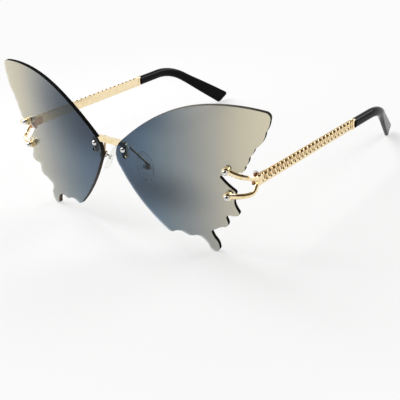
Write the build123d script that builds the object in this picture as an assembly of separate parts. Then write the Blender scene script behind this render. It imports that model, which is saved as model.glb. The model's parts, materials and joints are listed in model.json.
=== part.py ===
from build123d import *
import os
from math import cos, radians, sin, sqrt, tan

# Butterfly sunglasses: two tinted half-butterfly lenses held by a bridge, two forked
# endpieces and two temples that carry a curb-chain relief. Millimetres, +Z up, +X to the
# wearer's left, +Y from the lenses towards the ears. The glasses stand as on a table, on
# the tails of the lenses and the ends of the temple tips. All pieces are drawn for the
# wearer's left side, with the middle of the lens planes at the origin, and mirrored.

# Lenses
LENS_WIDTH = 72.1  # inner edge to outer tip, along the lens
LENS_HEIGHT = 70.25  # end of the tail to the top edge
LENS_THICKNESS = 2.0
LENS_RADIUS = 300.0  # of the domed front face
LENS_INNER = 4.55  # middle of the frame to the inner edge
LENS_WRAP = 10.6  # degrees that each lens turns back
LENS_TILT = 1.7  # degrees that its foot leans back
CUT_ALLOWANCE = 12.0  # overrun of every cut and blank

# Places on the lens, as shares of its width and height
DOME_TOP_share = (0.480, 0.603)
BRIDGE_SCREW_share = (0.053, 0.626)
BRIDGE_PEG_share = (0.064, 0.580)
FORK_SCREW_shares = ((0.742, 0.604), (0.742, 0.436))

# Outline of the lens: one smooth top edge, then arcs given by a point on the way and the
# end point, clockwise round the wing tip, the scallops, the notch, the lobes and the tail
TOP_EDGE_shares = ((0.042, 0.683), (0.239, 0.841), (0.497, 0.965), (0.746, 1.000), (0.976, 0.977))
WING_TIP_shares = (
    ((0.996, 0.962), (1.000, 0.931)),
    ((0.992, 0.893), (0.975, 0.860)),
)
SCALLOP_shares = (
    ((0.961, 0.810), (0.911, 0.754)),
    ((0.899, 0.723), (0.877, 0.695)),
    ((0.870, 0.663), (0.850, 0.633)),
    ((0.846, 0.612), (0.832, 0.596)),
)
NOTCH_shares = (
    ((0.768, 0.585), (0.707, 0.562)),
    ((0.696, 0.552), (0.703, 0.540)),
    ((0.738, 0.501), (0.778, 0.468)),
    ((0.786, 0.457), (0.785, 0.441)),
)
LOBE_shares = (
    ((0.775, 0.407), (0.773, 0.379)),
    ((0.782, 0.349), (0.796, 0.322)),
    ((0.796, 0.303), (0.779, 0.292)),
    ((0.757, 0.288), (0.735, 0.290)),
    ((0.717, 0.280), (0.716, 0.259)),
    ((0.720, 0.245), (0.723, 0.228)),
    ((0.713, 0.206), (0.689, 0.199)),
    ((0.666, 0.191), (0.644, 0.177)),
    ((0.626, 0.168), (0.609, 0.155)),
)
TAIL_shares = (
    ((0.614, 0.131), (0.634, 0.091)),
    ((0.646, 0.065), (0.649, 0.040)),
    ((0.624, 0.000), (0.587, 0.023)),
    ((0.571, 0.060), (0.534, 0.098)),
)
LOWER_EDGE_shares = (
    ((0.513, 0.104), (0.491, 0.100)),
    ((0.458, 0.094), (0.426, 0.105)),
    ((0.390, 0.115), (0.356, 0.105)),
    ((0.330, 0.097), (0.308, 0.107)),
    ((0.155, 0.279), (0.024, 0.501)),
    ((0.000, 0.591), (0.042, 0.683)),
)

# Screws, bushes, washers and nuts
SEAT_GAP = 0.02  # between faces that are clamped together
FIT_GAP = 0.03  # radial, round shanks and bushes
SCREW_RADIUS = 0.6
BUSH_WALL = 0.35
HEAD_RADIUS = 1.2  # bridge screw's low dome
HEAD_HEIGHT = 0.9
BALL_RADIUS = 1.25  # fork screw's ball head
BALL_SINK = 0.6  # how far the ball's middle lies over its flat
WASHER_RADIUS = 1.5
WASHER_THICKNESS = 0.3
NUT_RADIUS = 1.35  # across corners, halved
NUT_HEIGHT = 1.2
SHANK_END = 0.25  # of thread past the nut
PEG_RADIUS = 0.7
PEG_RECESS = 0.5  # of its end in the hole

# Bridge
LUG_WIDTH = 2.8
LUG_HEIGHT = 7.4
LUG_THICKNESS = 1.2
LUG_DROP = 0.8  # middle of the lug below its screw
BAR_HEIGHT = 2.0
BAR_THICKNESS = 3.0
BAR_ARCH = 0.2  # rise of the bar's lower edge at the middle
BAR_RAISE = 2.2  # middle of the bar over the bridge screws

# Nose pads
PAD_OUT = 4.3  # from the bridge screw to the pad's pivot
PAD_BACK = 11.2
PAD_DROP = 10.5
PAD_SPLAY = 25.0  # degrees that the rear edges spread
PAD_FLARE = 28.0  # degrees that the lower ends spread
PAD_WIDTH = 7.6
PAD_HEIGHT = 13.8
PAD_THICKNESS = 2.6
PAD_STANDOFF = 1.9  # from the pivot to the pad's back
PAD_PROFILE_shares = ((0.0, 0.86), (0.3, 1.0), (0.62, 0.93), (0.86, 0.72), (1.0, 0.40))
ARM_RADIUS = 0.5
ARM_PLACE = 5.4  # from the middle of the bar
ARM_REACH = 1.6  # straight out of the bar
ARM_BEND = 1.2
BOX_SIZE = 2.4
BOX_WALL = 0.4
EYE_THICKNESS = 1.0
EYE_RADIUS = 0.8
STEM_RADIUS = 0.42
ANCHOR_DEPTH = 1.0  # of the stem's foot in the pad
ANCHOR_RADIUS = 1.1
PAD_SCREW_RADIUS = 0.4
PAD_SCREW_HEAD = 0.8
PAD_HEAD_HEIGHT = 0.5

# Endpiece forks
PRONG_THICKNESS = 1.9
PRONG_WIDTH = 2.7  # at the eyelets; the prongs narrow to round rods
EYELET_RADIUS = 1.8
FORK_REACH = 7.1  # from the fork screws to the hinge axis
FORK_DEPTH = 10.6
FORK_DROP = 0.4
PRONG_FLAT = 5.4  # run of a prong over the lens
PRONG_LEANS = (-18.0, 6.0)  # degrees that the upper and lower prong rise there
KNEE_INSETS = (0.2, 0.0)  # of each prong's knee, from the tail's middle
KNEE_FORWARDS = (6.2, 5.4)
KNEE_RISES = (2.5, -4.0)
JOIN_FORWARD = 2.3
JOIN_RISES = (0.8, -1.1)
TAIL_LENGTH = 3.4
TAIL_NOSE_share = 0.7

# Hinges
KNUCKLE_RADIUS = 1.15
HINGE_HEIGHT = 4.8
KNUCKLE_GAP = 0.08
HINGE_PIN_RADIUS = 0.55
HINGE_PIN_GAP = 0.05
HINGE_HEAD_RADIUS = 0.95
HINGE_HEAD_HEIGHT = 0.45
SLOT_WIDTH = 0.3
LEAF_THICKNESS = 1.0
LEAF_LENGTH = 4.2
FRONT_LEAF_LENGTH = 2.2
LEAF_HEIGHT = 3.4
LEAF_GAP = 0.15  # from a knuckle to the bar beside it
LEAF_START = 1.5
BUTT_GAP = 0.15  # half the joint between endpiece and temple

# Temples
TEMPLE_SPLAY = 0.2  # degrees outwards
TEMPLE_FALL = 3.4  # degrees downwards
TEMPLE_LENGTH = 83.1  # hinge axis to the tip's mouth
TEMPLE_HEIGHT = 4.7
TEMPLE_THICKNESS = 2.0
BACK_THICKNESS = 0.9
BACK_TOP = 1.8  # over the temple's middle line
LINK_LENGTH = 5.3
LINK_WIDTH = 2.9
LINK_WIRE = 0.85
LINK_PITCH = 3.3
LINK_LEAN = 40.0  # degrees that a link's top leans to the hinge
LINK_TWIST = 13.0
COLLAR_LENGTH = 2.1
COLLAR_WALL = 0.35
CORE_RADIUS = 0.75
CORE_END = 20.0  # of the core past the bend

# Temple tips
TIP_STRAIGHT = 28.0  # mouth to the corner of the bend
TIP_LENGTH = 49.6  # from that corner to the end
TIP_BEND_RADIUS = 14.0
TIP_DROP = 32.4  # degrees down from the temple's line
TIP_INWARD = 16.4  # degrees towards the head
TIP_HEIGHT = 4.9
TIP_THICKNESS = 3.7
TIP_ROUND_share = 0.48  # corner radius of its section, of its thickness
PADDLE_HEIGHT = 8.0
# Sections after the bend, as shares of the remaining length, the paddle's height and the
# tip's thickness
PADDLE_shares = (
    (0.25, 0.65, 0.85),
    (0.50, 0.80, 0.75),
    (0.75, 0.92, 0.69),
    (1.00, 1.00, 0.64),
)
PADDLE_SLANT = 28.0  # degrees that its end is cut back at the bottom
PADDLE_EDGE = 0.6  # rounding of its end


# Places that follow from the sizes
wrap = radians(LENS_WRAP)
tilt = radians(LENS_TILT)
lens_plane = Plane(
    origin=(0, 0, 0),
    x_dir=(cos(wrap), sin(wrap), 0),
    z_dir=(sin(wrap) * cos(tilt), -cos(wrap) * cos(tilt), -sin(tilt)),
)


def on_lens(share):
    """A place on the flat lens plane, from its shares of width and height."""
    return (LENS_INNER + share[0] * LENS_WIDTH, share[1] * LENS_HEIGHT)


dome_top = on_lens(DOME_TOP_share)
dome_centre = lens_plane.from_local_coords(Vector(*dome_top, -LENS_RADIUS))


def lens_seat(share):
    """The plane that touches the lens's front face at a place, facing forwards."""
    across, up = on_lens(share)
    reach = (across - dome_top[0]) ** 2 + (up - dome_top[1]) ** 2
    height = sqrt(LENS_RADIUS**2 - reach) - LENS_RADIUS
    point = lens_plane.from_local_coords(Vector(across, up, height))
    normal = (point - dome_centre).normalized()
    sideways = lens_plane.y_dir.cross(normal).normalized()
    return Plane(origin=point, x_dir=sideways, z_dir=normal)


bridge_seat = lens_seat(BRIDGE_SCREW_share)
peg_seat = lens_seat(BRIDGE_PEG_share)
fork_seats = [lens_seat(share) for share in FORK_SCREW_shares]
shank_hole = SCREW_RADIUS + FIT_GAP
bush_radius = SCREW_RADIUS + FIT_GAP + BUSH_WALL
fork_middle = (fork_seats[0].origin + fork_seats[1].origin) * 0.5
hinge_point = fork_middle + Vector(FORK_REACH, FORK_DEPTH, -FORK_DROP)
bar_inner = KNUCKLE_RADIUS + LEAF_GAP
bar_middle = bar_inner + TEMPLE_THICKNESS / 2
hinge_frame = Pos(hinge_point)
temple_frame = hinge_frame * Rot(0, 0, -TEMPLE_SPLAY) * Rot(-TEMPLE_FALL, 0, 0)
pad_pivot = bridge_seat.origin + Vector(PAD_OUT, PAD_BACK, -PAD_DROP)
pad_frame = Pos(pad_pivot) * Rot(0, 0, -PAD_SPLAY)


def ring(outer, inner, low, high):
    """A washer or bush about the Z axis, between two heights."""
    body = Cylinder(outer, high - low, align=(Align.CENTER, Align.CENTER, Align.MIN))
    hole = Cylinder(inner, high - low, align=(Align.CENTER, Align.CENTER, Align.MIN))
    return Pos(0, 0, low) * (body - hole)


def rod(radius, low, high):
    """A plain rod about the Z axis, between two heights."""
    body = Cylinder(radius, high - low, align=(Align.CENTER, Align.CENTER, Align.MIN))
    return Pos(0, 0, low) * body


def dome(radius, height, low):
    """A low dome on a flat face, about the Z axis."""
    ball = (radius**2 + height**2) / (2 * height)
    cap = Pos(0, 0, low + height - ball) * Sphere(ball)
    return cap & rod(radius + FIT_GAP, low, low + height)


def hex_nut(low):
    """A small six-sided nut about the Z axis, from a height downwards."""
    body = extrude(RegularPolygon(NUT_RADIUS, 6), -NUT_HEIGHT)
    return Pos(0, 0, low) * body - rod(shank_hole, low - NUT_HEIGHT, low)


# The lens
def lens_outline():
    top = [on_lens(share) for share in TOP_EDGE_shares]
    edges = [Spline(*top)]
    here = top[-1]
    for table in (WING_TIP_shares, SCALLOP_shares, NOTCH_shares, LOBE_shares, TAIL_shares,
                  LOWER_EDGE_shares):
        for via, end in table:
            edges.append(ThreePointArc(here, on_lens(via), on_lens(end)))
            here = on_lens(end)
    return make_face(Wire(edges))


def make_lens():
    blank = extrude(lens_outline(), CUT_ALLOWANCE, both=True)
    shell = Sphere(LENS_RADIUS) - Sphere(LENS_RADIUS - LENS_THICKNESS)
    lens = lens_plane * blank & Pos(dome_centre) * shell
    for seat in [bridge_seat, *fork_seats]:
        lens -= seat * rod(bush_radius + FIT_GAP, -CUT_ALLOWANCE, CUT_ALLOWANCE)
    lens -= peg_seat * rod(PEG_RADIUS + FIT_GAP, -CUT_ALLOWANCE, CUT_ALLOWANCE)
    return lens


def make_bushes():
    low = SEAT_GAP - LENS_THICKNESS
    return [seat * ring(bush_radius, shank_hole, low, -SEAT_GAP)
            for seat in [bridge_seat, *fork_seats]]


# The bridge: a bar between the lenses, with a lug and a locating peg behind each lens
lug_front = -LENS_THICKNESS - SEAT_GAP
lug_back = lug_front - LUG_THICKNESS
bar_back = bridge_seat.from_local_coords(Vector(0, 0, lug_back)).Y


def make_lug():
    outline = Pos(0, -LUG_DROP, lug_back) * Rot(0, 0, 90) * SlotOverall(LUG_HEIGHT, LUG_WIDTH)
    return bridge_seat * extrude(outline, LUG_THICKNESS + LENS_THICKNESS)


def make_bar():
    reach = bridge_seat.origin.X
    middle = bridge_seat.origin.Z + BAR_RAISE
    top = middle + BAR_HEIGHT / 2
    bottom = middle - BAR_HEIGHT / 2
    edges = [
        Line((-reach, top), (reach, top)),
        Line((reach, top), (reach, bottom)),
        ThreePointArc((reach, bottom), (0, bottom + BAR_ARCH), (-reach, bottom)),
        Line((-reach, bottom), (-reach, top)),
    ]
    return Pos(0, bar_back, 0) * extrude(Plane.XZ * make_face(Wire(edges)), BAR_THICKNESS)


def inner_edge_room():
    """The lens's round inner edge, grown by the gap to the bar's end."""
    via, end = LOWER_EDGE_shares[-1]
    edge = ThreePointArc(on_lens(LOWER_EDGE_shares[-2][1]), on_lens(via), on_lens(end))
    return lens_plane * Pos(edge.arc_center) * Cylinder(edge.radius + SEAT_GAP, 2 * CUT_ALLOWANCE)


def make_bridge():
    bar = make_bar()
    behind_lens = Pos(dome_centre) * Sphere(LENS_RADIUS - LENS_THICKNESS - SEAT_GAP)
    bridge = bar + make_lug() + mirror(make_lug(), about=Plane.YZ)
    bridge = bridge & behind_lens & mirror(behind_lens, about=Plane.YZ)
    bridge += bar - inner_edge_room() - mirror(inner_edge_room(), about=Plane.YZ)
    peg = peg_seat * rod(PEG_RADIUS, lug_back + SEAT_GAP, -PEG_RECESS)
    hole = bridge_seat * rod(shank_hole, lug_back - CUT_ALLOWANCE, CUT_ALLOWANCE)
    bridge = bridge + peg + mirror(peg, about=Plane.YZ)
    return bridge - hole - mirror(hole, about=Plane.YZ)


def make_bridge_screw():
    end = lug_back - NUT_HEIGHT - SHANK_END
    screw = dome(HEAD_RADIUS, HEAD_HEIGHT, SEAT_GAP) + rod(SCREW_RADIUS, end, SEAT_GAP)
    return bridge_seat * screw


def make_bridge_nut():
    return bridge_seat * hex_nut(lug_back - SEAT_GAP)


# Nose pads: a wire arm, a box with a screw, and a clear pad on a metal eye that rocks
box_inner = EYE_THICKNESS + 2 * HINGE_PIN_GAP
cheek_out = box_inner / 2 + BOX_WALL


def make_pad_arm():
    start = Vector(ARM_PLACE, bar_back + SEAT_GAP, bridge_seat.origin.Z + BAR_RAISE)
    turn = start + Vector(0, ARM_REACH, 0)
    end = (pad_frame * Pos(BOX_SIZE / 4, 0, BOX_SIZE / 2 + SEAT_GAP)).position
    path = FilletPolyline(start, turn, end, radius=ARM_BEND)
    arm = sweep(Plane(origin=start, z_dir=(0, 1, 0)) * Circle(ARM_RADIUS), path=path)
    box_side = Box(
        CUT_ALLOWANCE, CUT_ALLOWANCE, CUT_ALLOWANCE, align=(Align.CENTER, Align.CENTER, Align.MAX)
    )
    return arm - pad_frame * Pos(0, 0, BOX_SIZE / 2 + SEAT_GAP) * box_side


def make_pad_box():
    depth = 2 * cheek_out
    box = Pos(BOX_SIZE / 4, 0, 0) * Box(BOX_SIZE, depth, BOX_SIZE)
    mouth = Pos(-BOX_WALL + BOX_SIZE / 4, 0, 0) * Box(BOX_SIZE, box_inner, BOX_SIZE)
    hole = Rot(90, 0, 0) * rod(PAD_SCREW_RADIUS + HINGE_PIN_GAP, -depth, depth)
    return pad_frame * (box - mouth - hole)


def make_pad_screw():
    shank = rod(PAD_SCREW_RADIUS, -cheek_out, cheek_out + SEAT_GAP)
    head = dome(PAD_SCREW_HEAD, PAD_HEAD_HEIGHT, cheek_out + SEAT_GAP)
    return pad_frame * Rot(90, 0, 0) * (shank + head)


# The pad's own frame looks at the nose along Z, with X backwards and Y up the pad
pad_face = pad_frame * Rot(0, -PAD_FLARE, 0) * Location(Plane(
    origin=(-PAD_STANDOFF, 0, 0), x_dir=(0, 1, 0), z_dir=(-1, 0, 0)
))


def make_pad_insert():
    eye = Rot(90, 0, 0) * rod(EYE_RADIUS, -EYE_THICKNESS / 2, EYE_THICKNESS / 2)
    eye -= Rot(90, 0, 0) * rod(PAD_SCREW_RADIUS + HINGE_PIN_GAP, -EYE_THICKNESS, EYE_THICKNESS)
    stem = rod(STEM_RADIUS, EYE_RADIUS * 0.8 - PAD_STANDOFF, ANCHOR_DEPTH)
    anchor = rod(ANCHOR_RADIUS, ANCHOR_DEPTH / 2, ANCHOR_DEPTH)
    return pad_frame * eye + pad_face * (stem + anchor)


def make_nose_pad():
    sections = [
        Pos(0, 0, depth * PAD_THICKNESS) * Ellipse(PAD_WIDTH / 2 * size, PAD_HEIGHT / 2 * size)
        for depth, size in PAD_PROFILE_shares
    ]
    pad = loft(sections)
    pad -= rod(STEM_RADIUS + FIT_GAP, -ANCHOR_DEPTH, ANCHOR_DEPTH)
    pad -= rod(ANCHOR_RADIUS + FIT_GAP, ANCHOR_DEPTH / 2 - FIT_GAP, ANCHOR_DEPTH + FIT_GAP)
    return pad_face * pad


# Endpiece forks: two prongs from their eyelets on the lens, round its edge and back to
# one tail at the hinge
def prong(seat, lean, knee, join):
    """One prong, swept from a flat oval at the eyelet to a round rod at the tail."""
    height = PRONG_THICKNESS / 2 + SEAT_GAP
    rise = PRONG_FLAT * tan(radians(lean))
    start = seat.from_local_coords(Vector(0, 0, height))
    flat = seat.from_local_coords(Vector(PRONG_FLAT, rise, height))
    ahead = (flat - start).normalized()
    path = Spline(start, flat, knee, join, tangents=(ahead, (join - knee).normalized()))
    oval = Ellipse(PRONG_THICKNESS / 2, PRONG_WIDTH / 2)
    first = Plane(origin=start, x_dir=seat.z_dir, z_dir=ahead) * oval
    last = Plane(origin=join, x_dir=(1, 0, 0), z_dir=path % 1) * Circle(PRONG_THICKNESS / 2)
    return sweep([first, last], path=path, multisection=True)


def tail_section(forward, share):
    plane = Plane(origin=(bar_middle, -forward, 0), x_dir=(1, 0, 0), z_dir=(0, 1, 0))
    thickness = TEMPLE_THICKNESS * share
    return plane * RectangleRounded(thickness, TEMPLE_HEIGHT * share, thickness / 3)


def make_fork():
    tail = loft([
        tail_section(TAIL_LENGTH, TAIL_NOSE_share),
        tail_section(TAIL_LENGTH / 2, 1),
        tail_section(BUTT_GAP, 1),
    ], ruled=True)
    fork = hinge_frame * tail
    for i in range(2):
        knee = Vector(bar_middle - KNEE_INSETS[i], -KNEE_FORWARDS[i], KNEE_RISES[i])
        join = Vector(bar_middle, -JOIN_FORWARD, JOIN_RISES[i])
        fork += prong(fork_seats[i], PRONG_LEANS[i], hinge_point + knee, hinge_point + join)
        fork += fork_seats[i] * rod(EYELET_RADIUS, SEAT_GAP, PRONG_THICKNESS + SEAT_GAP)
    for seat in fork_seats:
        fork -= seat * rod(shank_hole, -CUT_ALLOWANCE, CUT_ALLOWANCE)
    return fork


fork_top = PRONG_THICKNESS + 2 * SEAT_GAP
washer_back = lug_front - WASHER_THICKNESS


def make_fork_screws():
    end = washer_back - NUT_HEIGHT - SHANK_END
    ball = Pos(0, 0, fork_top + BALL_SINK) * Sphere(BALL_RADIUS)
    head = ball & rod(BALL_RADIUS + FIT_GAP, fork_top, fork_top + 2 * BALL_RADIUS)
    screw = head + rod(SCREW_RADIUS, end, fork_top)
    return [seat * screw for seat in fork_seats]


def make_fork_washers():
    washer = ring(WASHER_RADIUS, shank_hole, washer_back, lug_front)
    return [seat * washer for seat in fork_seats]


def make_fork_nuts():
    return [seat * hex_nut(washer_back - SEAT_GAP) for seat in fork_seats]


# Hinges: two knuckles on the endpiece, one on the temple, and a slotted screw
knuckle_height = (HINGE_HEIGHT - 2 * KNUCKLE_GAP) / 3
bore = HINGE_PIN_RADIUS + HINGE_PIN_GAP
leaf_inner = bar_inner - LEAF_THICKNESS - SEAT_GAP


def leaf_block(y_low, y_high, z_low, z_high):
    """A block of the leaf's thickness, between the knuckles and the bar."""
    box = Box(
        LEAF_THICKNESS, y_high - y_low, z_high - z_low, align=(Align.MIN, Align.MIN, Align.MIN)
    )
    return Pos(leaf_inner, y_low, z_low) * box


def make_front_hinge():
    half = HINGE_HEIGHT / 2
    leaf = leaf_block(-LEAF_START - FRONT_LEAF_LENGTH, -LEAF_START, -LEAF_HEIGHT / 2, LEAF_HEIGHT / 2)
    for low in (-half, half - knuckle_height):
        leaf += leaf_block(-LEAF_START, 0, low, low + knuckle_height)
        leaf += rod(KNUCKLE_RADIUS, low, low + knuckle_height)
    leaf -= rod(bore, -HINGE_HEIGHT, HINGE_HEIGHT)
    return hinge_frame * leaf


def make_temple_hinge():
    half = knuckle_height / 2
    leaf = temple_frame * leaf_block(
        LEAF_START, LEAF_START + LEAF_LENGTH, -LEAF_HEIGHT / 2, LEAF_HEIGHT / 2
    )
    tongue = leaf_block(0, LEAF_START + LEAF_LENGTH / 4, -half, half)
    knuckle = hinge_frame * rod(KNUCKLE_RADIUS, -half, half)
    leaf += temple_tongue_trim(hinge_frame * Rot(0, 0, -TEMPLE_SPLAY) * tongue) + knuckle
    return leaf - hinge_frame * rod(bore, -HINGE_HEIGHT, HINGE_HEIGHT)


def temple_tongue_trim(tongue):
    """The tongue ends short of the temple's bar, which slopes across it."""
    bar_side = temple_frame * Pos(bar_inner - SEAT_GAP, 0, 0) * Box(
        CUT_ALLOWANCE, 4 * CUT_ALLOWANCE, CUT_ALLOWANCE, align=(Align.MIN, Align.CENTER, Align.CENTER)
    )
    return tongue - bar_side


def make_hinge_screw():
    half = HINGE_HEIGHT / 2
    screw = rod(HINGE_PIN_RADIUS, -half, half + SEAT_GAP)
    screw += rod(HINGE_HEAD_RADIUS, half + SEAT_GAP, half + SEAT_GAP + HINGE_HEAD_HEIGHT)
    screw -= Pos(0, 0, half + HINGE_HEAD_HEIGHT) * Box(4 * HINGE_HEAD_RADIUS, SLOT_WIDTH, HINGE_HEAD_HEIGHT)
    return hinge_frame * screw


# Temples: a flat back with a curb chain on its outer face, and a core wire for the tip
collar_start = TEMPLE_LENGTH - COLLAR_LENGTH - SEAT_GAP
stub_height = TEMPLE_HEIGHT - 2 * COLLAR_WALL
stub_thickness = TEMPLE_THICKNESS - 2 * COLLAR_WALL


def make_link():
    outer = SlotOverall(LINK_LENGTH, LINK_WIDTH)
    inner = SlotOverall(LINK_LENGTH - 2 * LINK_WIRE, LINK_WIDTH - 2 * LINK_WIRE)
    relief = TEMPLE_THICKNESS - BACK_THICKNESS
    link = Pos(0, 0, -relief / 4) * extrude(outer - inner, relief)
    return Rot(0, 0, 90 + LINK_LEAN) * Rot(LINK_TWIST, 0, 0) * link


def tip_path():
    """The bent line that the core wire and the tip follow, in the temple's frame."""
    drop = radians(TIP_DROP)
    inward = radians(TIP_INWARD)
    corner = Vector(bar_middle, TEMPLE_LENGTH + TIP_STRAIGHT, 0)
    fall = Vector(-sin(inward) * cos(drop), cos(inward) * cos(drop), -sin(drop))
    return corner, fall


def core_wire(radius, start, past):
    corner, fall = tip_path()
    path = FilletPolyline(
        Vector(bar_middle, start, 0), corner, corner + fall * (TIP_BEND_RADIUS / 2 + past),
        radius=TIP_BEND_RADIUS,
    )
    section = Plane(origin=Vector(bar_middle, start, 0), z_dir=(0, 1, 0)) * Circle(radius)
    return sweep(section, path=path)


def make_temple():
    length = collar_start - SEAT_GAP - BUTT_GAP
    low = -TEMPLE_HEIGHT / 2
    back = Pos(bar_inner, BUTT_GAP, low) * Box(
        BACK_THICKNESS, length, BACK_TOP - low, align=(Align.MIN, Align.MIN, Align.MIN)
    )
    count = int((length - LINK_WIDTH) / LINK_PITCH) + 1
    first = BUTT_GAP + (length - (count - 1) * LINK_PITCH) / 2
    relief_plane = Plane.YZ.offset(bar_inner + BACK_THICKNESS)
    link = make_link()
    links = [relief_plane * Pos(first + i * LINK_PITCH, 0, 0) * link for i in range(count)]
    stub = Pos(bar_middle, TEMPLE_LENGTH, 0) * Box(
        stub_thickness, TEMPLE_LENGTH - collar_start + SEAT_GAP, stub_height,
        align=(Align.CENTER, Align.MAX, Align.CENTER),
    )
    envelope = Pos(bar_inner, BUTT_GAP, low) * Box(
        TEMPLE_THICKNESS, length, TEMPLE_HEIGHT, align=(Align.MIN, Align.MIN, Align.MIN)
    )
    chain = back.fuse(*links) & envelope
    return temple_frame * (chain + stub + core_wire(CORE_RADIUS, TEMPLE_LENGTH - SEAT_GAP, CORE_END))


def make_collar():
    outer = Box(
        TEMPLE_THICKNESS + COLLAR_WALL, COLLAR_LENGTH, TEMPLE_HEIGHT + COLLAR_WALL,
    )
    outer = fillet(outer.edges(), COLLAR_WALL)
    hole = Box(stub_thickness + 2 * FIT_GAP, 2 * COLLAR_LENGTH, stub_height + 2 * FIT_GAP)
    return temple_frame * Pos(bar_middle, collar_start + COLLAR_LENGTH / 2, 0) * (outer - hole)


def make_tip():
    """Straight from its mouth, round one bend, then swelling to a flat rounded paddle."""
    corner, fall = tip_path()
    ahead = Vector(0, 1, 0)
    angle = ahead.get_angle(fall)
    setback = TIP_BEND_RADIUS * tan(radians(angle / 2))
    mouth = Plane(origin=(bar_middle, TEMPLE_LENGTH + SEAT_GAP, 0), x_dir=(1, 0, 0), z_dir=ahead)
    section = RectangleRounded(TIP_THICKNESS, TIP_HEIGHT, TIP_THICKNESS * TIP_ROUND_share)
    straight = TIP_STRAIGHT - setback - SEAT_GAP
    tip = extrude(mouth * section, straight)
    inside = (fall - ahead * fall.dot(ahead)).normalized()
    centre = corner - ahead * setback + inside * TIP_BEND_RADIUS
    bend = Axis(centre, ahead.cross(fall))
    start = mouth.offset(straight) * section
    tip += revolve(start, bend, angle)
    end = Plane(origin=corner + fall * setback, x_dir=Vector(1, 0, 0).rotate(bend, angle), z_dir=fall)
    sections = [end * section]
    for along, tall, thick in PADDLE_shares:
        thickness = TIP_THICKNESS * thick
        oval = RectangleRounded(thickness, PADDLE_HEIGHT * tall, thickness * TIP_ROUND_share)
        sections.append(end.offset((TIP_LENGTH - setback) * along) * oval)
    slant = end.offset(TIP_LENGTH - setback) * Pos(0, -PADDLE_HEIGHT / 2, 0) * Rot(-PADDLE_SLANT, 0, 0)
    beyond = slant * Box(
        CUT_ALLOWANCE, 2 * CUT_ALLOWANCE, CUT_ALLOWANCE, align=(Align.CENTER, Align.CENTER, Align.MIN)
    )
    paddle = loft(sections) - beyond
    tip += fillet(paddle.faces().sort_by(Axis(corner, fall))[-1].edges(), PADDLE_EDGE)
    tip -= core_wire(CORE_RADIUS + FIT_GAP, TEMPLE_LENGTH - SEAT_GAP, CORE_END + FIT_GAP)
    return temple_frame * tip


def both(piece):
    return [piece, mirror(piece, about=Plane.YZ)]


def as_group(pieces):
    return Compound(children=[solid for piece in pieces for solid in piece.solids()])


def build():
    nodes = {}
    pairs = {
        "lens": make_lens(),
        "pad_arm": make_pad_arm(),
        "pad_box": make_pad_box(),
        "pad_insert": make_pad_insert(),
        "nose_pad": make_nose_pad(),
        "fork": make_fork(),
        "front_hinge": make_front_hinge(),
        "hinge_screw": make_hinge_screw(),
        "temple_hinge": make_temple_hinge(),
        "temple": make_temple(),
        "collar": make_collar(),
        "temple_tip": make_tip(),
    }
    for name, piece in pairs.items():
        nodes[name + "_left"], nodes[name + "_right"] = both(piece)
    groups = {
        "lens_bushes": make_bushes(),
        "bridge_screws": [make_bridge_screw()],
        "bridge_nuts": [make_bridge_nut()],
        "pad_screws": [make_pad_screw()],
        "fork_screws": make_fork_screws(),
        "fork_washers": make_fork_washers(),
        "fork_nuts": make_fork_nuts(),
    }
    for name, pieces in groups.items():
        nodes[name] = as_group([side for piece in pieces for side in both(piece)])
    nodes["bridge"] = make_bridge()
    return nodes


nodes = build()
box = as_group(nodes.values()).bounding_box()
shift = Vector(0, -(box.min.Y + box.max.Y) / 2, -box.min.Z)
os.makedirs("parts", exist_ok=True)
for name, piece in nodes.items():
    export_step(Pos(shift) * piece, "parts/" + name + ".step")

print("whole size", box.size)
print("shift", shift)
print("hinge axis, left", hinge_point + shift)
print("pad pivot, left", pad_pivot + shift)
print("pad axis, left", sin(radians(PAD_SPLAY)), cos(radians(PAD_SPLAY)))
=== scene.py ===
import json
from math import cos, radians, sin, tan

import bmesh
import bpy
from mathutils import Matrix, Vector


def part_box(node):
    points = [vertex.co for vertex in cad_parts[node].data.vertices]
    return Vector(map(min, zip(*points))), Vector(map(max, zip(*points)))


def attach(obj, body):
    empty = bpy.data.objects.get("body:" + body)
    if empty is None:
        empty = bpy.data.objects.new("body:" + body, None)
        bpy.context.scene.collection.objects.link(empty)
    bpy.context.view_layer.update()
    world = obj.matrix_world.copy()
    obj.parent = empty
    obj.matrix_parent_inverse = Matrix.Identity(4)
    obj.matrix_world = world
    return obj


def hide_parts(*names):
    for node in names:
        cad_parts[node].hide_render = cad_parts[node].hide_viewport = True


# Butterfly sunglasses: gradient tinted lenses, gold wire forks, curb chain temples and
# black tips, dressed over the CAD frame. Metres, Z up, +X to the wearer's left.

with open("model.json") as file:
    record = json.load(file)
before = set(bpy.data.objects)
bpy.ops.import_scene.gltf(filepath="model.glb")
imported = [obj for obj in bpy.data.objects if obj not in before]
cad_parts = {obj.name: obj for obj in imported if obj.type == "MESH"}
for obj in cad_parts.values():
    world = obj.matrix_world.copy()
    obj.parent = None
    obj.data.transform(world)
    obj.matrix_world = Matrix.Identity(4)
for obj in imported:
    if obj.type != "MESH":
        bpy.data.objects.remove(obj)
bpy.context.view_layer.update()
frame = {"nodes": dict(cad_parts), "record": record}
MM = 0.001
SLOT_OF = {part["node"]: part["material_slot"] for part in frame["record"]["subparts"]}
BODIES = frame["record"]["behaviour"]["bodies"]
BODY_OF = {node: body for body, members in BODIES.items() for node in members}
scene = bpy.context.scene

# Camera, solved from the photograph: where it stands and how it is turned
CAMERA_AT = Vector((252.234, -352.898, 199.977)) * MM
CAMERA_AZIMUTH, CAMERA_ELEVATION, CAMERA_ROLL = 37.208, 26.779, -3.349
CAMERA_LENS_MM, SENSOR_MM = 81.7, 36.0

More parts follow.
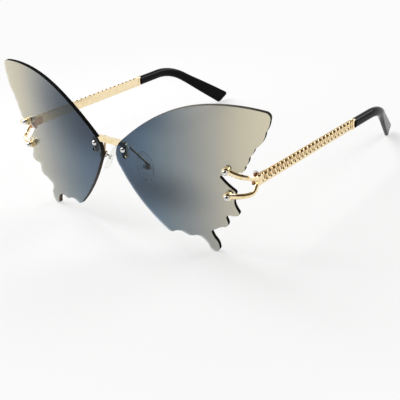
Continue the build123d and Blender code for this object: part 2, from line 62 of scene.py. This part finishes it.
# The lens: which way its front faces, as in the CAD source, and its tint from the inner
# edge to the wing tip
LENS_FACING = Vector((0.18387, -0.98250, -0.02967))
LENS_TINT = (
    (0.00, "#5C7187"), (0.20, "#64788A"), (0.37, "#788489"), (0.51, "#8D9190"),
    (0.66, "#A7A69C"), (0.83, "#C4BEA8"), (1.00, "#D3CBB2"))
# Soft oval patches: middle and half-size in millimetres, tone, and strength at the middle.
# First painted shade in the lenses' tint, then painted light that makes their cut edge paler.
LENS_PAINTED_SHADE = (
    ((20, -81, 27), (36, 1000, 18), "#26282F", 0.66),
    ((-20, -81, 20), (34, 1000, 18), "#26282F", 0.28),
    ((18, -82, 61), (28, 1000, 12), "#1C2C44", 0.45),
    ((-22, -82, 62), (38, 1000, 22), "#1C2C44", 0.50),
    ((-10, -84, 50), (48, 1000, 34), "#0A1524", 0.76))
EDGE_PAINTED_LIGHT = (
    ((0, -84, 10), (42, 1000, 40), "#6A625B", 1.0),
    ((-48, -84, 3), (12, 1000, 14), "#66584B", 0.8),
    ((42, -79, 68), (46, 1000, 16), "#706E64", 0.9))
EDGE_DARK, EDGE_LIGHT, EDGE_INSIDE = "#141413", "#22211F", "#FFFFFF"

# The temple: its own frame at the hinge and its section, as in the CAD source, and where
# along it the chain runs and the tip begins
HINGE_AT = Vector((64.2264, -65.6230, 36.1035)) * MM
TEMPLE_SPLAY, TEMPLE_FALL = radians(0.2), radians(3.4)
TEMPLE_INNER, TEMPLE_MIDDLE, TEMPLE_HEIGHT = 1.3 * MM, 2.3 * MM, 4.7 * MM
CHAIN_START, CHAIN_END, MOUTH = 0.15 * MM, 80.96 * MM, 83.1 * MM
# Painted shade between the links: the plate is painted darker from the first distance off
# the middle of the glasses outwards, fully up to the second, and no more from the third
CHAIN_PAINTED_SHADE = [HINGE_AT.x + TEMPLE_INNER + depth * MM for depth in (0.5, 1.1, 1.5)]
CHAIN_PAINTED_SHADE_TONE = "#BC9860"
# The chain: its links stand askew on the back, "Lift" outwards and "Rise" over its middle
CHAIN = {
    "Length": CHAIN_END - CHAIN_START, "Links": 24, "Link Length": 4.0 * MM,
    "Link Width": 2.1 * MM, "Wire": 1.25 * MM, "Lean": radians(90 + 32), "Twist": radians(18),
    "Lift": 1.0 * MM, "Rise": 0.12 * MM}
# The flat back, the rail along its foot and the stub: what they leave free or fill of the
# temple's height, and from which depth to which they reach outwards
BACK_BELOW_TOP, BACK_THICK = 0.05 * MM, 0.9 * MM
RAIL_HEIGHT, RAIL_FROM, RAIL_TO = 0.9 * MM, 0.2 * MM, 1.7 * MM
STUB_INSET, STUB_OVERLAP, STUB_TO = 0.4 * MM, 1 * MM, 1.6 * MM

# The tip: its bend, how its end is rounded and cut back, and rows of millimetres from the
# bend's corner, height and thickness
BEND_CORNER, BEND_RADIUS, TIP_END = 28.0 * MM, 36 * MM, 50.1 * MM
TIP_DROP, TIP_INWARD = radians(32.4), radians(16.4)
END_ROUNDING, END_SLANT, SLANT_RUN = 2.6 * MM, 0.53, 14 * MM
PADDLE = (
    (-30, 4.9, 3.7), (4.5, 4.9, 3.7), (15.8, 5.2, 2.9), (27.0, 6.4, 2.45), (38.3, 7.3, 2.2),
    (50.0, 8.0, 2.1))


def linear(hex_code):
    """An sRGB hex colour as the linear colour that a shader socket takes."""
    parts = [int(hex_code[i:i + 2], 16) / 255 for i in (1, 3, 5)]
    return [c / 12.92 if c <= 0.04045 else ((c + 0.055) / 1.055) ** 2.4 for c in parts] + [1.0]


def add(tree, kind, links=None, **settings):
    """Adds a node with its settings, socket values (in_...) and links, and returns it."""
    node = tree.nodes.new(kind)
    for name, value in settings.items():
        if not name.startswith("in_"):
            setattr(node, name, value)
    for name, value in settings.items():
        if name.startswith("in_"):
            key = name[3:]
            node.inputs[int(key) if key.isdigit() else key.replace("_", " ")].default_value = value
    for name, source in (links or {}).items():
        tree.links.new(source, node.inputs[name])
    return node


def new_material(name):
    material = bpy.data.materials.new(name)
    material.use_nodes = True
    material.node_tree.nodes.clear()
    return material, material.node_tree


def ramp(tree, source, stops):
    """A colour ramp over the given stops of position and hex colour."""
    node = add(tree, "ShaderNodeValToRGB", {"Fac": source})
    while len(node.color_ramp.elements) < len(stops):
        node.color_ramp.elements.new(0.5)
    for element, (place, colour) in zip(node.color_ramp.elements, stops):
        element.position = place
        element.color = linear(colour)
    return node


def seen_by(tree, *kinds):
    """1 for the named kinds of ray and 0 for the others."""
    rays = add(tree, "ShaderNodeLightPath").outputs
    seen = rays[kinds[0]]
    for kind in kinds[1:]:
        seen = add(tree, "ShaderNodeMath", {0: seen, 1: rays[kind]}, operation="MAXIMUM").outputs[0]
    return seen


def glass_that_lets_lamps_through(tree, shader, colour):
    """Lamps shine through clear plastic in its colour, so what is behind it isn't in the dark."""
    lamp_through = add(tree, "ShaderNodeBsdfTransparent")
    if isinstance(colour, str):
        lamp_through.inputs["Color"].default_value = linear(colour)
    else:
        tree.links.new(colour, lamp_through.inputs["Color"])
    mix = add(tree, "ShaderNodeMixShader", {
        0: seen_by(tree, "Is Shadow Ray"), 1: shader.outputs[0], 2: lamp_through.outputs[0]})
    add(tree, "ShaderNodeOutputMaterial", {"Surface": mix.outputs[0]})


def painted_patch(tree, place, colour, middle, reach, tone, strength):
    """The colour with a soft oval patch of another tone painted in it, sized in millimetres:
    painted shade in the lens's tint and painted light on its cut edge.
    """
    scale = add(tree, "ShaderNodeMapping", {"Vector": place},
                in_Scale=[1 / (r * MM) for r in reach],
                in_Location=[-m / r for m, r in zip(middle, reach)])
    away = add(tree, "ShaderNodeVectorMath", {0: scale.outputs[0]}, operation="LENGTH")
    patch = add(tree, "ShaderNodeMapRange", {"Value": away.outputs["Value"]},
                interpolation_type="SMOOTHSTEP", in_To_Min=strength, in_To_Max=0.0)
    veil = add(tree, "ShaderNodeMix", {"Factor": patch.outputs[0]}, data_type="RGBA")
    tree.links.new(colour, veil.inputs[6])
    veil.inputs[7].default_value = linear(tone)
    return veil.outputs[2]


# Materials
def tinted_polycarbonate():
    """Moulded polycarbonate, tinted in a dip bath: slate blue at the nose fades sideways to
    pale champagne at the wing tips. The hard coat gives it a bluish, faintly cloudy gloss."""
    material, tree = new_material("dip_tinted_polycarbonate")
    place = add(tree, "ShaderNodeTexCoord").outputs["Object"]
    split = add(tree, "ShaderNodeSeparateXYZ", {"Vector": place})
    outwards = add(tree, "ShaderNodeMath", {0: split.outputs["X"]}, operation="ABSOLUTE")
    along = add(tree, "ShaderNodeMapRange", {"Value": outwards.outputs[0]},
                in_From_Min=LENS_INNER, in_From_Max=LENS_OUTER)
    tint = ramp(tree, along.outputs[0], LENS_TINT).outputs["Color"]
    # painted shade: soft patches, deeper in tone than the fade around them, painted into the tint
    for shade_patch in LENS_PAINTED_SHADE:
        tint = painted_patch(tree, place, tint, *shade_patch)
    cloud = add(tree, "ShaderNodeTexNoise", {"Vector": place}, in_Scale=1 / (9 * MM), in_Detail=2.0)
    gloss = add(tree, "ShaderNodeMapRange", {"Value": cloud.outputs["Fac"]},
                in_To_Min=0.02, in_To_Max=0.05)
    shader = add(tree, "ShaderNodeBsdfPrincipled", {
        "Base Color": tint, "Roughness": gloss.outputs[0]},
        in_IOR=1.58, in_Transmission_Weight=1.0, in_Specular_Tint=linear("#8A95A5"))
    glass_that_lets_lamps_through(tree, shader, tint)
    return material


def buffed_lens_edge():
    """The lens's cut edge, buffed. From outside it is nearly black, with fine buffing lines,
    drawn at 0.4 mm so that they show. From inside the lens it is clear, and its low IOR lets
    the white of the room straight in, so that the edge seen through the lens is bright."""
    material, tree = new_material("buffed_lens_edge")
    place = add(tree, "ShaderNodeTexCoord").outputs["Object"]
    lines = add(tree, "ShaderNodeTexNoise", {"Vector": place},
                in_Scale=1 / (0.4 * MM), in_Detail=1.0)
    gloss = add(tree, "ShaderNodeMapRange", {"Value": lines.outputs["Fac"]},
                in_To_Min=0.12, in_To_Max=0.3)
    tone = ramp(tree, lines.outputs["Fac"], ((0.3, EDGE_DARK), (0.7, EDGE_LIGHT)))
    tone = tone.outputs["Color"]
    # painted light: it is painted a paler brown where it faces the paper, and along the top of the
    # left wing
    for patch in EDGE_PAINTED_LIGHT:
        tone = painted_patch(tree, place, tone, *patch)
    inside = add(tree, "ShaderNodeNewGeometry").outputs["Backfacing"]
    side = add(tree, "ShaderNodeMix", {"Factor": inside}, data_type="RGBA")
    tree.links.new(tone, side.inputs[6])
    side.inputs[7].default_value = linear(EDGE_INSIDE)
    shader = add(tree, "ShaderNodeBsdfPrincipled", {
        "Roughness": gloss.outputs[0], "Base Color": side.outputs[2],
        "Transmission Weight": inside},
        in_IOR=1.05, in_Specular_IOR_Level=0.02)
    add(tree, "ShaderNodeOutputMaterial", {"Surface": shader.outputs[0]})
    return material


def plated(name, colour, worn, roughness, mottle_mm, bump_mm, painted_shade=None):
    """Electroplated metal, buffed: the mottle in its gloss and a trace of orange peel keep
    the highlights from looking ruled, and the plating is a shade duller where it thins."""
    material, tree = new_material(name)
    place = add(tree, "ShaderNodeTexCoord").outputs["Object"]
    noise = add(tree, "ShaderNodeTexNoise", {"Vector": place},
                in_Scale=1 / (mottle_mm * MM), in_Detail=3.0)
    gloss = add(tree, "ShaderNodeMapRange", {"Value": noise.outputs["Fac"]},
                in_To_Min=roughness * 0.6, in_To_Max=roughness * 1.5)
    tone = ramp(tree, noise.outputs["Fac"], ((0.35, worn), (0.55, colour))).outputs["Color"]
    if painted_shade:
        # painted shade: between the links the plate is painted darker, where shade falls
        split = add(tree, "ShaderNodeSeparateXYZ", {"Vector": place})
        outwards = add(tree, "ShaderNodeMath", {0: split.outputs["X"]}, operation="ABSOLUTE")
        deep = add(tree, "ShaderNodeMapRange", {"Value": outwards.outputs[0]},
                   in_From_Min=painted_shade[1], in_From_Max=painted_shade[2], in_To_Min=1.0, in_To_Max=0.0)
        outer = add(tree, "ShaderNodeMath", {0: outwards.outputs[0]},
                    operation="GREATER_THAN", in_1=painted_shade[0])
        amount = add(tree, "ShaderNodeMath", {0: deep.outputs[0], 1: outer.outputs[0]},
                     operation="MULTIPLY")
        mixed = add(tree, "ShaderNodeMix", {"Factor": amount.outputs[0]}, data_type="RGBA")
        tree.links.new(tone, mixed.inputs[6])
        mixed.inputs[7].default_value = linear(CHAIN_PAINTED_SHADE_TONE)
        tone = mixed.outputs[2]
    peel = add(tree, "ShaderNodeBump", {"Height": noise.outputs["Fac"]},
               in_Strength=0.06, in_Distance=bump_mm * MM)
    shader = add(tree, "ShaderNodeBsdfPrincipled", {
        "Roughness": gloss.outputs[0], "Normal": peel.outputs[0], "Base Color": tone},
        in_Metallic=1.0)
    add(tree, "ShaderNodeOutputMaterial", {"Surface": shader.outputs[0]})
    return material


def black_acetate():
    """Moulded and tumbled black acetate: deep black, with faint waves in its soft highlights
    from the tumbling."""
    material, tree = new_material("tumbled_black_acetate")
    place = add(tree, "ShaderNodeTexCoord").outputs["Object"]
    wave = add(tree, "ShaderNodeTexNoise", {"Vector": place}, in_Scale=1 / (6 * MM), in_Detail=2.0)
    gloss = add(tree, "ShaderNodeMapRange", {"Value": wave.outputs["Fac"]},
                in_To_Min=0.08, in_To_Max=0.18)
    tone = ramp(tree, wave.outputs["Fac"], ((0.35, "#050506"), (0.65, "#0B0B0D")))
    ripple = add(tree, "ShaderNodeBump", {"Height": wave.outputs["Fac"]},
                 in_Strength=0.2, in_Distance=0.1 * MM)
    shader = add(tree, "ShaderNodeBsdfPrincipled", {
        "Roughness": gloss.outputs[0], "Normal": ripple.outputs[0],
        "Base Color": tone.outputs["Color"]},
        in_IOR=1.48, in_Specular_IOR_Level=0.06)
    add(tree, "ShaderNodeOutputMaterial", {"Surface": shader.outputs[0]})
    return material


def clear_plastic(name, colour, haze, roughness, ior):
    """Clear moulded plastic with a trace of haze in its skin, so that only its rim shows."""
    material, tree = new_material(name)
    place = add(tree, "ShaderNodeTexCoord").outputs["Object"]
    skin = add(tree, "ShaderNodeTexNoise", {"Vector": place}, in_Scale=1 / (3 * MM), in_Detail=2.0)
    gloss = add(tree, "ShaderNodeMapRange", {"Value": skin.outputs["Fac"]},
                in_To_Min=roughness * 0.6, in_To_Max=roughness * 1.4)
    tone = ramp(tree, skin.outputs["Fac"], ((0.3, haze), (0.7, colour)))
    shader = add(tree, "ShaderNodeBsdfPrincipled", {
        "Roughness": gloss.outputs[0], "Base Color": tone.outputs["Color"]},
        in_IOR=ior, in_Transmission_Weight=1.0)
    glass_that_lets_lamps_through(tree, shader, colour)
    return material


low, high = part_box("lens_left")
LENS_INNER, LENS_OUTER = low.x, high.x
# pale warm gold with crisp light and dark bands
gold = plated("buffed_gold_plate", "#FBE9C2", "#F2D9A6", 0.09, 2.2, 0.05)
# the same plate on the cast chain, softer, with painted shade down between the links
chain_gold = plated("buffed_chain_gold", "#F9E6BF", "#F2DCB0", 0.2, 2.2, 0.05, painted_shade=CHAIN_PAINTED_SHADE)
# painted shade: the pad arms and boxes get a darker, brownish copy of the gold
pad_gold_painted_darker = plated("pad_wire_gold_painted_darker", "#BCA078", "#93784F", 0.07, 1.2, 0.04)
# bare cast brass, reddish and dull
brass = plated("cast_hinge_brass", "#C99A70", "#A87650", 0.22, 1.2, 0.08)
# bright nickel, which shows white and dark on each screw's head
silver = plated("buffed_nickel_plate", "#E4E4E5", "#C9C8C6", 0.08, 1.2, 0.04)
lens_tint = tinted_polycarbonate()
lens_edge = buffed_lens_edge()
FINISHES = {
    "tinted_lens": lens_tint, "gold_plate": gold, "hinge_brass": brass, "silver_plate": silver,
    "black_tip": black_acetate(),
    # the pads: nearly as clear as air, with a faint rim
    "clear_pad": clear_plastic("moulded_clear_silicone", "#F7F7F5", "#F0F0EC", 0.06, 1.22),
    # the bushes and washers: duller and greyer, with a plain rim
    "clear_bush": clear_plastic("moulded_clear_nylon", "#EDEDE6", "#E2E2DA", 0.2, 1.53),
}


def finish_of(node):
    """The finish of the node's slot; on the pad arms and boxes it is a darker copy of the gold,
    painted shade.
    """
    return pad_gold_painted_darker if node.startswith(("pad_arm_", "pad_box_")) else FINISHES[SLOT_OF[node]]


# Pieces
def hand_over(piece, node):
    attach(piece, BODY_OF[node])
    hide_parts(node)


def new_piece(name, mesh):
    piece = bpy.data.objects.new(name, mesh)
    scene.collection.objects.link(piece)
    return piece


def shade(mesh, sharp_degrees):
    for face in mesh.polygons:
        face.use_smooth = True
    mesh.set_sharp_from_angle(angle=radians(sharp_degrees))


def clean_copy(node, flat_degrees=0.5):
    """The node's solid as one clean mesh with soft shading. Its flat faces are joined, unless
    flat_degrees is 0."""
    mesh = frame["nodes"][node].data.copy()
    mesh.name = node + "_finished"
    mesh.attributes.remove(mesh.attributes["custom_normal"])
    work = bmesh.new()
    work.from_mesh(mesh)
    bmesh.ops.remove_doubles(work, verts=work.verts, dist=0.0005 * MM)
    if flat_degrees:
        bmesh.ops.dissolve_limit(
            work, angle_limit=radians(flat_degrees), verts=work.verts, edges=work.edges)
    work.to_mesh(mesh)
    work.free()
    mesh.materials.clear()
    mesh.materials.append(finish_of(node))
    shade(mesh, 35)
    return mesh


def mirrored(mesh, name):
    """The same mesh for the wearer's right side."""
    twin = mesh.copy()
    twin.name = name
    twin.transform(Matrix.Scale(-1, 4, (1, 0, 0)))
    twin.flip_normals()
    return twin


def lens_mesh(node):
    """The lens: its front and back are clear, and what stands across them is its cut edge."""
    mesh = clean_copy(node, 0)
    mesh.materials.append(lens_edge)
    facing = LENS_FACING if node.endswith("left") else LENS_FACING * Vector((-1, 1, 1))
    for face in mesh.polygons:
        across = abs(face.normal.dot(facing)) < cos(radians(60))
        face.material_index = 1 if across else 0
    return mesh


def pad_box_mesh(node):
    """The pad's box: a cast block, tumbled until its longer edges are round."""
    mesh = clean_copy(node)
    work = bmesh.new()
    work.from_mesh(mesh)
    edges = [edge for edge in work.edges if len(edge.link_faces) == 2
             and edge.calc_length() > 0.8 * MM and edge.calc_face_angle() > radians(60)]
    bmesh.ops.bevel(work, geom=edges, offset=0.6 * MM, segments=4, profile=0.5,
                    affect="EDGES", clamp_overlap=True)
    work.to_mesh(mesh)
    work.free()
    shade(mesh, 50)
    return mesh


TEMPLE_FRAME = (Matrix.Translation(HINGE_AT) @ Matrix.Rotation(-TEMPLE_SPLAY, 4, "Z")
                @ Matrix.Rotation(-TEMPLE_FALL, 4, "X"))


def chain_tree():
    """Oval links, each leaning and turned on its own long axis, in a row on the back."""
    tree = bpy.data.node_groups.new("curb_chain", "GeometryNodeTree")
    for name, value in CHAIN.items():
        kind = "NodeSocketInt" if name == "Links" else "NodeSocketFloat"
        tree.interface.new_socket(name, in_out="INPUT", socket_type=kind).default_value = value
    tree.interface.new_socket("Finish", in_out="INPUT", socket_type="NodeSocketMaterial")
    tree.interface.new_socket("Chain", in_out="OUTPUT", socket_type="NodeSocketGeometry")
    size = add(tree, "NodeGroupInput").outputs
    oval = add(tree, "GeometryNodeCurvePrimitiveQuadrilateral", {
        0: size["Link Length"], 1: size["Link Width"]})
    round_by = add(tree, "ShaderNodeMath", {0: size["Link Width"]},
                   operation="MULTIPLY", in_1=0.49)
    path = add(tree, "GeometryNodeFilletCurve", {
        "Curve": oval.outputs[0], "Radius": round_by.outputs[0]}, mode="POLY", in_Count=6)
    thick = add(tree, "ShaderNodeMath", {0: size["Wire"]}, operation="MULTIPLY", in_1=0.5)
    wire = add(tree, "GeometryNodeCurvePrimitiveCircle", {"Radius": thick.outputs[0]},
               in_Resolution=10)
    link = add(tree, "GeometryNodeCurveToMesh", {
        "Curve": path.outputs[0], "Profile Curve": wire.outputs[0]})
    reach = add(tree, "ShaderNodeMath", {0: size["Length"], 1: size["Link Width"]},
                operation="SUBTRACT")
    start, stop = (
        add(tree, "ShaderNodeCombineXYZ", {"X": x, "Y": size["Rise"], "Z": size["Lift"]})
        for x in (size["Link Width"], reach.outputs[0]))
    line = add(tree, "GeometryNodeCurvePrimitiveLine", {
        "Start": start.outputs[0], "End": stop.outputs[0]})
    places = add(tree, "GeometryNodeCurveToPoints", {
        "Curve": line.outputs[0], "Count": size["Links"]})
    lean = add(tree, "FunctionNodeAxisAngleToRotation", {"Angle": size["Lean"]},
               in_Axis=(0, 0, 1))
    twist = add(tree, "FunctionNodeAxisAngleToRotation", {"Angle": size["Twist"]},
                in_Axis=(1, 0, 0))
    turned = add(tree, "FunctionNodeRotateRotation", {0: lean.outputs[0], 1: twist.outputs[0]},
                 rotation_space="LOCAL")
    row = add(tree, "GeometryNodeInstanceOnPoints", {
        "Points": places.outputs["Points"], "Instance": link.outputs[0],
        "Rotation": turned.outputs[0]})
    real = add(tree, "GeometryNodeRealizeInstances", {0: row.outputs[0]})
    finish = add(tree, "GeometryNodeSetMaterial", {
        "Geometry": real.outputs[0], "Material": size["Finish"]})
    add(tree, "NodeGroupOutput", {0: finish.outputs[0]})
    return tree


def from_nodes(tree, name, values):
    """Runs a Geometry Nodes tree with the given inputs, and returns its plain mesh."""
    carrier = new_piece(name, bpy.data.meshes.new(name))
    run = carrier.modifiers.new(name, "NODES")
    run.node_group = tree
    for socket in tree.interface.items_tree:
        if socket.in_out == "INPUT" and socket.name in values:
            run[socket.identifier] = values[socket.name]
    view = bpy.context.evaluated_depsgraph_get()
    mesh = bpy.data.meshes.new_from_object(carrier.evaluated_get(view))
    carrier.modifiers.remove(run)
    bpy.data.objects.remove(carrier)
    mesh.name = name
    return mesh


def block(work, low_corner, high_corner, broken):
    """A block with broken edges, from its two corners."""
    middle = (Vector(low_corner) + Vector(high_corner)) / 2
    size = Vector(high_corner) - Vector(low_corner)
    place = Matrix.Translation(middle) @ Matrix.Diagonal((*size, 1))
    made = bmesh.ops.create_cube(work, size=1.0, matrix=place)
    edges = {edge for vert in made["verts"] for edge in vert.link_edges}
    bmesh.ops.bevel(work, geom=list(edges), offset=broken, segments=2, profile=0.6, affect="EDGES")


def temple_mesh():
    """The chain, the back, the rail along its foot, and the stub that goes into the tip. In
    the chain's frame X runs along the temple, Y up it and Z outwards."""
    chain = from_nodes(chain_tree(), "curb_chain", {**CHAIN, "Finish": chain_gold})
    chain.materials.clear()
    chain.materials.append(chain_gold)
    work = bmesh.new()
    work.from_mesh(chain)
    bmesh.ops.remove_doubles(work, verts=work.verts, dist=0.001 * MM)
    half, length = TEMPLE_HEIGHT / 2, CHAIN["Length"]
    block(work, (0, -half, 0), (length, half - BACK_BELOW_TOP, BACK_THICK), 0.15 * MM)
    block(work, (0, -half, RAIL_FROM), (length, RAIL_HEIGHT - half, RAIL_TO), 0.3 * MM)
    block(work, (length - STUB_OVERLAP, STUB_INSET - half, STUB_INSET),
          (MOUTH - CHAIN_START, half - STUB_INSET, STUB_TO), 0.15 * MM)
    for face in work.faces:
        face.material_index = 0
    bmesh.ops.recalc_face_normals(work, faces=work.faces)
    work.to_mesh(chain)
    work.free()
    to_temple = Matrix(((0, 0, 1, TEMPLE_INNER), (1, 0, 0, CHAIN_START), (0, 1, 0, 0), (0, 0, 0, 1)))
    chain.transform(TEMPLE_FRAME @ to_temple)
    shade(chain, 50)
    return chain


def at_distance(table, place):
    """Reads a table of (place, height, thickness) with straight lines between its rows."""
    for (a, *low), (b, *high) in zip(table, table[1:]):
        if place <= b:
            share = (place - a) / (b - a)
            return [x + (y - x) * share for x, y in zip(low, high)]
    return table[-1][1:]


def rounded_section(height, thickness):
    """Points round a bar's section with fully rounded sides, as (outwards, down)."""
    r = min(height, thickness) * 0.48
    points = []
    for turn, (sx, sy) in enumerate(((1, 1), (-1, 1), (-1, -1), (1, -1))):
        for step in range(7):
            a = radians(90 * turn + 15 * step)
            points.append((sx * (thickness / 2 - r) + r * cos(a), sy * (height / 2 - r) + r * sin(a)))
    return points


def tip_mesh():
    """The tip: one long soft bend, then a flat paddle with its end cut back and rounded. In
    the temple's frame X runs outwards, Y along and Z up."""
    ahead = Vector((0, 1, 0))
    fall = Vector((
        -sin(TIP_INWARD) * cos(TIP_DROP), cos(TIP_INWARD) * cos(TIP_DROP), -sin(TIP_DROP)))
    corner = Vector((TEMPLE_MIDDLE, MOUTH + BEND_CORNER, 0))
    angle = ahead.angle(fall)
    setback = BEND_RADIUS * tan(angle / 2)
    inside = (fall - ahead * fall.dot(ahead)).normalized()
    centre = corner - ahead * setback + inside * BEND_RADIUS
    # each stop: its place, how far it has turned, its distance from the corner, and how much
    # smaller the rounding of the end makes it
    stops = [(Vector((TEMPLE_MIDDLE, MOUTH + 0.02 * MM, 0)), 0.0, -BEND_CORNER, 0.0)]
    for step in range(17):
        turned = angle * step / 16
        place = centre - inside * BEND_RADIUS * cos(turned) + ahead * BEND_RADIUS * sin(turned)
        stops.append((place, turned, setback * (step / 8 - 1), 0.0))
    for step in range(1, 21):
        along = setback + (TIP_END - END_ROUNDING - setback) * step / 20
        stops.append((corner + fall * along, angle, along, 0.0))
    for step in range(1, 7):
        along = TIP_END - END_ROUNDING * (1 - sin(radians(15 * step)))
        inset = END_ROUNDING * (1 - cos(radians(15 * step)))
        stops.append((corner + fall * along, angle, along, inset))
    work = bmesh.new()
    rings = []
    for place, turned, along, inset in stops:
        turn = Matrix.Rotation(turned, 3, ahead.cross(fall))
        out, down, forward = turn @ Vector((1, 0, 0)), turn @ Vector((0, 0, -1)), turn @ ahead
        height, thickness = (v * MM for v in at_distance(PADDLE, along / MM))
        slant = END_SLANT * max(0.0, min(1.0, (along - TIP_END + SLANT_RUN) / SLANT_RUN)) ** 2
        section = rounded_section(height - 2.0 * inset, thickness - 0.75 * inset)
        rings.append([work.verts.new(place + out * x + down * y - forward * slant * (y + height / 2))
                      for x, y in section])
    for ring, following in zip(rings, rings[1:]):
        for i in range(len(ring)):
            work.faces.new((ring[i - 1], ring[i], following[i], following[i - 1]))
    work.faces.new(rings[0])
    work.faces.new(rings[-1])
    bmesh.ops.recalc_face_normals(work, faces=work.faces)
    mesh = bpy.data.meshes.new("paddle_tip_left")
    work.to_mesh(mesh)
    work.free()
    mesh.materials.append(FINISHES["black_tip"])
    mesh.transform(TEMPLE_FRAME)
    shade(mesh, 50)
    return mesh


DRAWN_ANEW = ("temple_left", "temple_right", "temple_tip_left", "temple_tip_right")
for node in frame["nodes"]:
    if node in ("lens_left", "lens_right"):
        hand_over(new_piece(node + "_tinted", lens_mesh(node)), node)
    elif node.startswith("pad_box_"):
        hand_over(new_piece(node + "_finished", pad_box_mesh(node)), node)
    elif node not in DRAWN_ANEW:
        hand_over(new_piece(node + "_finished", clean_copy(node)), node)
temple = temple_mesh()
hand_over(new_piece("chain_temple_left", temple), "temple_left")
hand_over(new_piece("chain_temple_right", mirrored(temple, "chain_temple_right")), "temple_right")
tip = tip_mesh()
hand_over(new_piece("paddle_tip_left", tip), "temple_tip_left")
hand_over(new_piece("paddle_tip_right", mirrored(tip, "paddle_tip_right")), "temple_tip_right")


# Stage: a white sweep, a large softbox on the left and a small one behind, and a room that
# is white low down and dim higher up, so that the metal shows light and dark bands
PLAIN_WHITE = "#FBFBFB"
FLOOR_SIZE, SHADOW_REACH, PLAIN_FROM = 6.0, 90 * MM, 250 * MM


def stage_material():
    """Matt white paper: a sheet with faint fibres, which keeps the glasses' soft shadow and
    fades to plain white away from them."""
    material, tree = new_material("white_paper_sweep")
    place = add(tree, "ShaderNodeTexCoord").outputs["Object"]
    fibres = add(tree, "ShaderNodeTexNoise", {"Vector": place},
                 in_Scale=1 / (1.5 * MM), in_Detail=2.0)
    tone = ramp(tree, fibres.outputs["Fac"], ((0.3, "#F4F4F5"), (0.7, "#F7F7F7")))
    paper = add(tree, "ShaderNodeBsdfPrincipled", {"Base Color": tone.outputs["Color"]},
                in_Roughness=0.9)
    blank = add(tree, "ShaderNodeEmission", in_Color=linear(PLAIN_WHITE), in_Strength=1.0)
    away = add(tree, "ShaderNodeVectorMath", {0: place}, operation="LENGTH")
    far = add(tree, "ShaderNodeMapRange", {"Value": away.outputs["Value"]},
              interpolation_type="SMOOTHSTEP",
              in_From_Min=SHADOW_REACH, in_From_Max=PLAIN_FROM, in_To_Min=0.62)
    seen = seen_by(tree, "Is Camera Ray", "Is Transmission Ray", "Is Glossy Ray")
    amount = add(tree, "ShaderNodeMath", {0: far.outputs[0], 1: seen}, operation="MULTIPLY")
    mix = add(tree, "ShaderNodeMixShader", {
        0: amount.outputs[0], 1: paper.outputs[0], 2: blank.outputs[0]})
    add(tree, "ShaderNodeOutputMaterial", {"Surface": mix.outputs[0]})
    return material


bpy.ops.mesh.primitive_plane_add(size=FLOOR_SIZE, location=(0, 0, 0))
floor = bpy.context.object
floor.name = "floor"
floor.data.materials.append(stage_material())

world = bpy.data.worlds.new("studio")
scene.world = world
world.use_nodes = True
studio = world.node_tree
studio.nodes.clear()
# the room by the sine of the height looked at: behind the glasses, and in front of them
BEHIND = ((0.0, "#FFFFFF"), (0.50, "#F4F4F4"), (0.66, "#54473F"), (1.0, "#3A322D"))
IN_FRONT = ((0.0, "#E4E4E4"), (0.15, "#8A8078"), (0.5, "#4A3F38"), (1.0, "#3A322D"))
around = add(studio, "ShaderNodeTexCoord")
direction = add(studio, "ShaderNodeSeparateXYZ", {"Vector": around.outputs["Generated"]}).outputs
depth = add(studio, "ShaderNodeMapRange", {"Value": direction["Y"]},
            interpolation_type="SMOOTHSTEP", in_From_Min=-0.3, in_From_Max=0.3)
room = add(studio, "ShaderNodeMix", {"Factor": depth.outputs[0]}, data_type="RGBA")
studio.links.new(ramp(studio, direction["Z"], IN_FRONT).outputs["Color"], room.inputs[6])
studio.links.new(ramp(studio, direction["Z"], BEHIND).outputs["Color"], room.inputs[7])
dim = add(studio, "ShaderNodeBackground", {"Color": room.outputs[2]}, in_Strength=1.0)
plain = add(studio, "ShaderNodeBackground", in_Color=linear(PLAIN_WHITE), in_Strength=1.0)
shown = add(studio, "ShaderNodeMixShader", {
    0: seen_by(studio, "Is Camera Ray", "Is Transmission Ray"), 1: dim.outputs[0],
    2: plain.outputs[0]})
add(studio, "ShaderNodeOutputWorld", {"Surface": shown.outputs[0]})


def softbox(name, at, towards, size, power):
    lamp = bpy.data.lights.new(name, "AREA")
    lamp.shape = "RECTANGLE"
    lamp.size, lamp.size_y = size
    lamp.energy = power
    piece = bpy.data.objects.new(name, lamp)
    scene.collection.objects.link(piece)
    piece.location = at
    piece.rotation_euler = (Vector(towards) - Vector(at)).to_track_quat("-Z", "Y").to_euler()


softbox("left_box", (-0.75, -0.1, 0.75), (0, 0, 0), (0.8, 1.0), 13.5)
softbox("back_box", (0.45, 0.9, 0.6), (0, 0, 0), (0.5, 0.5), 4.5)

camera = bpy.data.cameras.new("camera")
camera.lens, camera.sensor_width, camera.clip_start = CAMERA_LENS_MM, SENSOR_MM, 0.01
eye = bpy.data.objects.new("camera", camera)
scene.collection.objects.link(eye)
az, el, roll = radians(CAMERA_AZIMUTH), radians(CAMERA_ELEVATION), radians(CAMERA_ROLL)
back = Vector((sin(az) * cos(el), -cos(az) * cos(el), sin(el)))
right = Vector((cos(az), sin(az), 0))
up = back.cross(right)
turned_right = right * cos(roll) + up * sin(roll)
turned_up = up * cos(roll) - right * sin(roll)
turned = Matrix((turned_right, turned_up, back)).transposed().to_4x4()
eye.matrix_world = Matrix.Translation(CAMERA_AT) @ turned
scene.camera = eye
scene.view_settings.view_transform = "Standard"
